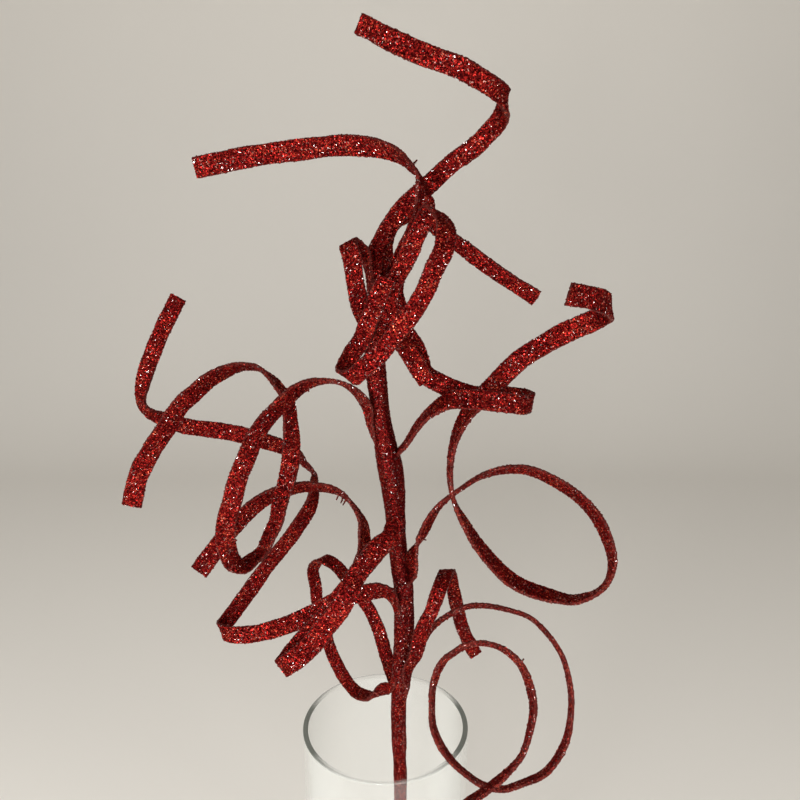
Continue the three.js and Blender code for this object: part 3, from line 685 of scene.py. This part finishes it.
class Finish:
    """One material and its nodes."""

    def __init__(self, name):
        self.material = bpy.data.materials.new(name)
        self.material.use_nodes = True
        self.tree = self.material.node_tree
        self.tree.nodes.clear()

    def node(self, kind, output, sockets=None, **settings):
        """A node of that kind: its settings are set first, then the values or links of its
        sockets. A colour is given without its alpha, which is 1."""
        made = self.tree.nodes.new("ShaderNode" + kind)
        for key, value in settings.items():
            setattr(made, key, value)
        for key, value in (sockets or {}).items():
            socket = made.inputs[key]
            if isinstance(value, Value):
                self.tree.links.new(value.socket, socket)
            else:
                socket.default_value = (*value, 1.0) if socket.type == "RGBA" else value
        return Value(self, made.outputs[output]) if output else None

    def mix(self, share, first, second):
        """A colour mixed from two by a share."""
        return self.node("Mix", 2, {0: share, 6: first, 7: second}, data_type="RGBA")

    def vectors(self, operation, first, second=(0.0, 0.0, 0.0)):
        """A Vector Math node of that operation on two vectors."""
        return self.node("VectorMath", "Vector", {0: first, 1: second}, operation=operation)

    def spread(self, value, low, high, to_low=0.0, to_high=1.0):
        """A value carried from one range to another and held inside it."""
        sockets = {"Value": value, "From Min": low, "From Max": high,
                   "To Min": to_low, "To Max": to_high}
        return self.node("MapRange", "Result", sockets)

    def surface(self, sockets):
        """Ends the tree with a Principled shader that has these values or links."""
        shader = self.node("BsdfPrincipled", "BSDF", sockets)
        self.node("OutputMaterial", None, {"Surface": shader})
        return self.material


def glitter_finish(name, look, flake_size, painted_shade_above):
    """Fine glitter: every flake is a cell of its own with its own tone, gloss and lean.

    A flake's three random numbers come from the cell it lies in. The first mixes its red
    from shadow to bright, the second says whether it is an orange one and whether it has a
    clear sparkling coat, and the third sets its gloss. Its lean is its numbers less a half,
    and the cube of the second number adds to the lean, so that most flakes lie nearly flat
    and a few stand up. Slow noise makes patches where the coat is thicker or thinner. Shade
    is painted on the stem: above its foot, among the strips, its colour is mixed towards the
    dark glue colour.
    """
    finish = Finish(name)
    place = finish.node("TexCoord", "Object")
    height = finish.node("SeparateXYZ", "Z", {"Vector": place})
    per_metre = 1 / (flake_size * MM)
    flake = finish.node("TexVoronoi", "Color", {"Vector": place, "Scale": per_metre})
    shares = finish.node("SeparateColor", "Red", {"Color": flake})
    tone, kind, gloss = shares, shares.also("Green"), shares.also("Blue")
    patch = finish.node("TexNoise", "Fac", {
        "Vector": place, "Scale": 90.0, "Detail": 3.0, "Roughness": 0.6})
    thick = finish.spread(patch, 0.36, 0.64)
    gap = finish.spread(flake.also("Distance"), 0.45, 0.8)
    edge = finish.node("Attribute", "Fac", attribute_name="thin_edge")

    red = finish.mix(finish.spread(tone, 0.3, 0.95), look.deep_red, look.red)
    lively = finish.spread(thick, 0.0, 1.0, 0.96, 0.85)
    red = finish.mix(kind > lively, red, look.orange_red)
    red = finish.mix(gap * 0.6, red, look.glue_and_shade)
    red = finish.mix((1 - thick) * 0.2, red, look.glue_and_shade)
    red = finish.mix(edge * look.edge_shade, red, look.edge)
    # Painted shade: above the painted shade heights the colour is mixed towards the dark glue colour, on
    # the stem only.
    upper = finish.spread(height, *PAINTED_SHADE_HEIGHTS, 0.0, painted_shade_above)
    red = finish.mix(upper, red, look.glue_and_shade)

    reach = kind * kind * kind * look.standing_lean + look.flat_lean
    lean = finish.vectors("SUBTRACT", flake, (0.5, 0.5, 0.5))
    lean = finish.node("VectorMath", "Vector", {0: lean, "Scale": reach}, operation="SCALE")
    upright = finish.node("NewGeometry", "Normal")
    lean = finish.vectors("NORMALIZE", finish.vectors("ADD", upright, lean))

    glossy = finish.spread(gloss, 0.0, 1.0, look.smooth_flake, look.rough_flake)
    metal = finish.spread(gloss, 0.3, 0.9, 0.95, 0.6) * (1 - edge * 0.5) * (1 - gap * 0.4)
    return finish.surface({
        "Base Color": red, "Roughness": glossy + gap * 0.3, "Metallic": metal,
        "Normal": lean, "IOR": 1.2, "Specular Tint": look.sheen,
        "Coat Weight": kind > 1 - look.sparkle_share, "Coat Roughness": 0.09, "Coat IOR": 1.8})


def glass_finish(look):
    """Clear glass, shown by how much of it is seen and not by bending light.

    The wall is a faint pale veil, a painted reflection of the room, that thickens where it
    is seen edge on, and a little more at the back. The rim is a thin line where its wall
    faces the eye, half pale painted highlight and half grey green, and a full grey green one
    where the wall turns away, which is found from the way out from the axis. The thick floor
    is a little denser. A slow noise adds haze that comes and goes.
    """
    finish = Finish("clear_glass")
    place = finish.node("TexCoord", "Object")
    height = finish.node("SeparateXYZ", "Z", {"Vector": place})
    haze = finish.node("TexNoise", "Fac", {"Vector": place, "Scale": 25.0, "Detail": 2.0})
    away = finish.node("LayerWeight", "Facing", {"Blend": 0.5})
    flat = finish.vectors("MULTIPLY", place, (1.0, 1.0, 0.0))
    outwards = finish.vectors("NORMALIZE", flat)
    reach = finish.node("VectorMath", "Value", {0: flat}, operation="LENGTH")
    turned = finish.node("LayerWeight", "Facing", {"Blend": 0.5, "Normal": outwards})
    turned = finish.spread(turned, look.turn_start, look.turn_end)
    top = (look.height - look.rim_round) * MM
    rim = finish.spread(height, top - look.rim_round * MM, top)
    foot = finish.spread(height, look.floor * MM, look.floor * MM + MM, 1.0, 0.0)
    # The veil is a painted reflection of the room on the glass.
    veil = finish.spread(away, 0.3, 1.0, look.wall_veil, look.edge_veil)
    veil = veil + finish.spread(haze, 0.3, 0.7, 0.0, 0.02) + foot * look.foot_veil
    veil = veil + finish.spread(height.also("Y"), -0.01, 0.04, 0.0, look.back_veil)
    outer = finish.spread(
        reach, (look.radius - 0.6 * look.wall) * MM, (look.radius - 0.4 * look.wall) * MM)
    # Where the rim's wall faces the eye its line is part painted highlight; where it turns away it is grey
    # green.
    ring = finish.spread(turned, 0.0, 1.0, look.rim_highlight_veil, look.rim_edge_veil)
    ring = ring * (turned + outer - turned * outer)
    seen = veil + (ring - veil) * rim
    # Pale is the painted reflection and, mixed half with grey green, the painted highlight on the rim's
    # front line.
    tint = finish.mix((turned * 0.5 + 0.5) * rim, look.pale, look.colour)
    return finish.surface({
        "Base Color": tint, "Roughness": 0.08, "IOR": 1.5, "Alpha": seen})


def floor_finish(look):
    """A matt pale paint with very faint clouding."""
    finish = Finish("pale_floor")
    place = finish.node("TexCoord", "Object")
    cloud = finish.node("TexNoise", "Fac", {"Vector": place, "Scale": 1.2, "Detail": 1.0})
    colour = finish.mix(
        finish.spread(cloud, 0.3, 0.7, 0.0, 0.4), look.floor, look.floor_shade)
    return finish.surface({
        "Base Color": colour, "Roughness": 0.9, "Specular IOR Level": 0.2})


# ---------------- what a user can change


def size(name, text, default, low=0.0, high=500.0):
    """A size in millimetres that a user can change."""
    return bpy.props.FloatProperty(name=name, description=text + ", in mm", default=default,
                                   min=low, max=high, precision=3)


def colour(name, text, default):
    """A colour that a user can change."""
    return bpy.props.FloatVectorProperty(
        name=name, description=text, default=default, size=3, min=0, max=1, subtype="COLOR")


def share(name, text, default, high=1.0):
    """A share or strength that a user can change."""
    return bpy.props.FloatProperty(
        name=name, description=text, default=default, min=0, max=high, subtype="FACTOR")


class WillowSizes(bpy.types.PropertyGroup):
    """Sizes of the strips and the stem, in millimetres."""

    thickness: size("Strip thickness", "From face to face of a strip", 1.9, 0.5, 5)
    corner: size("Strip corner", "Rounding along a strip's edges", 0.55, 0.05, 2)
    stem_radius: size("Stem radius", "Radius of the wrapped stem", 3.5, 1, 10)
    wrap_layer: size("Wrapping", "Thickness of the wrapping all round the stem", 0.9, 0, 9)
    wrap_rise: size("Wrapping rise", "How far it rises over a bound strip", 1.3, 0, 9)
    wrap_spread: bpy.props.FloatProperty(
        name="Wrapping spread", description="How far round the stem a rise spreads, in radians",
        default=0.72, min=0.1, max=3)
    cell: size("Grain spacing", "Distance between the surface's grains", 0.6, 0.3, 3)
    lumps: size("Grain depth", "How far the grains stand in and out", 0.12, 0, 1)
    grain: size("Loose grain", "How far a single loose grain stands out", 0.3, 0, 1)
    grain_share: share("Loose grains", "Share of the grains that stand out", 0.02)
    edge_drift: size("Edge drift", "How far a strip's edges wander", 0.14, 0, 1)
    fray: size("Frayed bits", "Radius of a frayed bit at its root", 0.62, 0.1, 2)


class GlitterLook(bpy.types.PropertyGroup):
    """Colours and gloss of the glitter."""

    red: colour("Red", "Colour of most flakes", (0.26, 0.0115, 0.0085))
    deep_red: colour("Deep red", "Colour of the darker flakes", (0.03, 0.0006, 0.0008))
    orange_red: colour("Orange red", "Colour of the bright flakes", (0.9, 0.15, 0.075))
    sheen: colour("Sheen", "Tint of the gloss where a flake is seen edge on", (0.75, 0.25, 0.21))
    # The dark glue between the flakes; the same colour is also the painted shade on the stem's upper part.
    glue_and_shade: colour("Ground", "Dark glue between the flakes", (0.02, 0.001, 0.0015))
    edge: colour("Thin edges", "Colour along the thin edges", (0.065, 0.015, 0.012))
    sparkle_share: share("Sparkling share", "Share of the flakes with a clear coat", 0.06)
    edge_shade: share("Edge shade", "How much the thin edges turn brown", 0.6)
    smooth_flake: share("Glossiest", "Roughness of the glossiest flakes", 0.1)
    rough_flake: share("Dullest", "Roughness of the dullest flakes", 0.45)
    flat_lean: share("Flat lean", "How far every flake may lean", 0.4)
    standing_lean: share("Standing lean", "How much further a few flakes lean", 1.4, 5)
    flake: size("Flake size", "Size of a flake on the strips", 0.54, 0.1, 5)
    stem_flake: size("Stem flake size", "Size of a flake on the stem", 0.44, 0.1, 5)


class VaseLook(bpy.types.PropertyGroup):
    """Sizes in millimetres and glass of the vase."""

    radius: size("Radius", "Outside radius", 50, 10, 200)
    wall: size("Wall", "Thickness of the wall", 3.1, 0.5, 20)
    height: size("Height", "Height of the rim", 202, 20, 500)
    floor: size("Floor", "Thickness of the floor", 8, 1, 50)
    rim_round: size("Rim rounding", "Rounding of the rim's two corners", 0.5, 0.1, 5)
    foot_round: size("Foot rounding", "Rounding of the foot and inside corner", 3, 0.2, 10)
    colour: colour("Rim colour", "Grey green of the rim where it turns away", (0.115, 0.125, 0.105))
    # The pale cast is the colour of the painted reflection of the room on the wall and of the painted
    # highlight on the rim's front line; the veils below set how strongly it shows.
    pale: colour("Pale cast", "Colour of the faint veil", (0.60, 0.61, 0.575))
    wall_veil: share("Wall veil", "How much of the wall shows face on", 0.04)
    back_veil: share("Back veil", "How much more the wall's back shows", 0.09)
    edge_veil: share("Wall edge veil", "How much of the wall shows edge on", 0.3)
    foot_veil: share("Foot veil", "How much more the thick floor shows", 0.12)
    rim_highlight_veil: share("Rim veil", "How much of the rim shows where its wall faces the eye", 0.34)
    rim_edge_veil: share("Rim edge veil", "How much of it shows where the wall turns away", 0.94)
    turn_start: share("Turn start", "How far the wall turns before the rim darkens", 0.3)
    turn_end: share("Turn end", "How far the wall turns until the rim is darkest", 0.68)


class StageLook(bpy.types.PropertyGroup):
    """The floor and the lights."""

    floor: colour("Floor", "Main colour of the floor", (0.80, 0.765, 0.705))
    floor_shade: colour("Floor clouding", "Colour of its faint clouds", (0.74, 0.705, 0.65))
    room: colour("Room light", "Colour of the light from all round", (1.0, 0.975, 0.935))
    room_power: share("Room power", "Strength of the light from all round", 0.31, 5)
    key_power: share("Key power", "Watts of the main light", 12, 500)
    fill_power: share("Fill power", "Watts of the weaker light", 3.4, 500)
    spark_power: share("Spark power", "Watts of each small bright light", 7.4, 500)


GROUPS = {
    "willow_sizes": WillowSizes,
    "willow_glitter": GlitterLook,
    "willow_vase": VaseLook,
    "willow_stage": StageLook,
}


# ---------------- operators


class WILLOW_OT_vase(bpy.types.Operator):
    """Turns the glass cylinder vase about its axis"""

    bl_idname = "willow.vase"
    bl_label = "Glass vase"

    def execute(self, context):
        look = context.scene.willow_vase
        points, faces = vase_surface(look)
        piece = make_piece("glass_vase", points, faces, glass_finish(look), smooth=True)
        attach(piece, "root")
        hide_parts("vase")
        return {"FINISHED"}


class WILLOW_OT_stem(bpy.types.Operator):
    """Carries the wrapped stem from the vase's floor to its tip"""

    bl_idname = "willow.stem"
    bl_label = "Wrapped stem"

    def execute(self, context):
        look = context.scene.willow_glitter
        # The stem gets painted shade above its foot; the strips get none.
        finish = glitter_finish("wrapped_stem", look, look.stem_flake, 0.35)
        rng = np.random.default_rng(SEED)
        points, faces, edge = stem_surface(context.scene.willow_sizes, rng)
        piece = make_piece("glittered_stem", points, faces, finish, edge)
        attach(piece, "root")
        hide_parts("stem")
        return {"FINISHED"}


class WILLOW_OT_strips(bpy.types.Operator):
    """Carries every willow strip off the stem along its own curl"""

    bl_idname = "willow.strips"
    bl_label = "Willow strips"

    def execute(self, context):
        look = context.scene.willow_glitter
        sizes = context.scene.willow_sizes
        finish = glitter_finish("glittered_willow", look, look.flake, 0.0)
        for number, (name, strip) in enumerate(STRIPS.items()):
            rng = np.random.default_rng(SEED + 1 + number)
            made = strip_surface(strip, sizes, rng)
            points, faces, edge = add_frays(name, strip, sizes, rng, *made)
            piece = make_piece("glittered_" + name, points, faces, finish, edge)
            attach(piece, "root")
            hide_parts(name)
        return {"FINISHED"}


class WILLOW_OT_stage(bpy.types.Operator):
    """Lays a pale floor that sweeps up behind, and sets the lights and the camera"""

    bl_idname = "willow.stage"
    bl_label = "Floor, lights and camera"

    def execute(self, context):
        look = context.scene.willow_stage
        make_piece("floor", *sweep_surface(), floor_finish(look), smooth=True)
        for name, turn, rise, away, wide, power in (
            ("key_light", -50, 28, 1.4, 0.95, look.key_power),
            ("fill_light", 55, 22, 1.6, 1.2, look.fill_power),
            ("spark_front", -10, 1, 1.0, 0.2, look.spark_power),
            ("spark_right", 52, -3, 1.1, 0.24, look.spark_power * 0.6),
            ("spark_left", -36, -10, 1.1, 0.24, look.spark_power),
            ("spark_low", 10, -26, 0.75, 0.18, look.spark_power / 4),
        ):
            area_light(name, turn, rise, away, wide, power)
        context.scene.view_settings.view_transform = "Standard"
        world = bpy.data.worlds.new("room")
        world.use_nodes = True
        back = world.node_tree.nodes["Background"]
        back.inputs["Color"].default_value = (*look.room, 1.0)
        back.inputs["Strength"].default_value = look.room_power
        context.scene.world = world
        front_camera(context.scene)
        return {"FINISHED"}


def sweep_surface():
    """A floor that turns up behind through a quarter circle: straight, then the arc, then
    straight up, carried from side to side."""
    bend = arc(FLOOR_BEND, FLOOR_BEND, FLOOR_BEND, -90, 0, 33)
    side = np.vstack([[[-FLOOR_HALF, 0]], bend, [[2 * FLOOR_BEND, FLOOR_TOP]]])
    grid = np.empty((len(side), 2, 3))
    grid[..., 0] = -FLOOR_HALF, FLOOR_HALF
    grid[..., 1] = side[:, :1]
    grid[..., 2] = side[:, 1:]
    start = np.arange(len(side) - 1) * 2
    faces = np.stack([start, start + 1, start + 3, start + 2], axis=-1)
    return grid.reshape(-1, 3), faces.tolist()


def area_light(name, turn, rise, away, wide, power):
    """A square light that faces the spray's middle: its place is its distance from there times
    the cosine and sine of its turn to the right of the front and of its rise."""
    lamp = bpy.data.lights.new(name, "AREA")
    lamp.size = wide
    lamp.energy = power
    light = bpy.data.objects.new(name, lamp)
    turn, rise = math.radians(turn), math.radians(rise)
    flat = away * math.cos(rise)
    x, y, z = LIT_PLACE
    light.location = (
        x + flat * math.sin(turn), y - flat * math.cos(turn), z + away * math.sin(rise))
    light.rotation_euler = (math.pi / 2 - rise, 0, turn)
    light.visible_camera = False
    bpy.context.scene.collection.objects.link(light)


def front_camera(scene):
    """A camera close before the spray, a little below its top and tipped down at it."""
    lens = bpy.data.cameras.new("front_camera")
    lens.sensor_width = 36
    lens.lens = 36
    camera = bpy.data.objects.new("front_camera", lens)
    camera.location = CAMERA_PLACE
    camera.rotation_euler = (math.radians(CAMERA_TURN), 0, 0)
    scene.collection.objects.link(camera)
    scene.camera = camera


OPERATORS = (WILLOW_OT_vase, WILLOW_OT_stem, WILLOW_OT_strips, WILLOW_OT_stage)


class WILLOW_PT_panel(bpy.types.Panel):
    """Lists what can be built and what can be changed"""

    bl_idname = "WILLOW_PT_panel"
    bl_label = "Curly willow in a vase"
    bl_space_type = "VIEW_3D"
    bl_region_type = "UI"
    bl_category = "Willow"

    def draw(self, context):
        for each in OPERATORS:
            self.layout.operator(each.bl_idname)
        for name, group in GROUPS.items():
            box = self.layout.box()
            for key in group.__annotations__:
                box.prop(getattr(context.scene, name), key)


CLASSES = (*GROUPS.values(), *OPERATORS, WILLOW_PT_panel)


def register():
    """Makes the classes known and hangs the groups of settings on the scene."""
    for each in CLASSES:
        bpy.utils.register_class(each)
    for name, group in GROUPS.items():
        setattr(bpy.types.Scene, name, bpy.props.PointerProperty(type=group))


def unregister():
    """Takes the settings and the classes away again."""
    for name in GROUPS:
        delattr(bpy.types.Scene, name)
    for each in reversed(CLASSES):
        bpy.utils.unregister_class(each)


def main():
    """Builds every piece and the stage."""
    register()
    bpy.ops.willow.vase()
    bpy.ops.willow.stem()
    bpy.ops.willow.strips()
    bpy.ops.willow.stage()


if __name__ == "__main__":
    main()
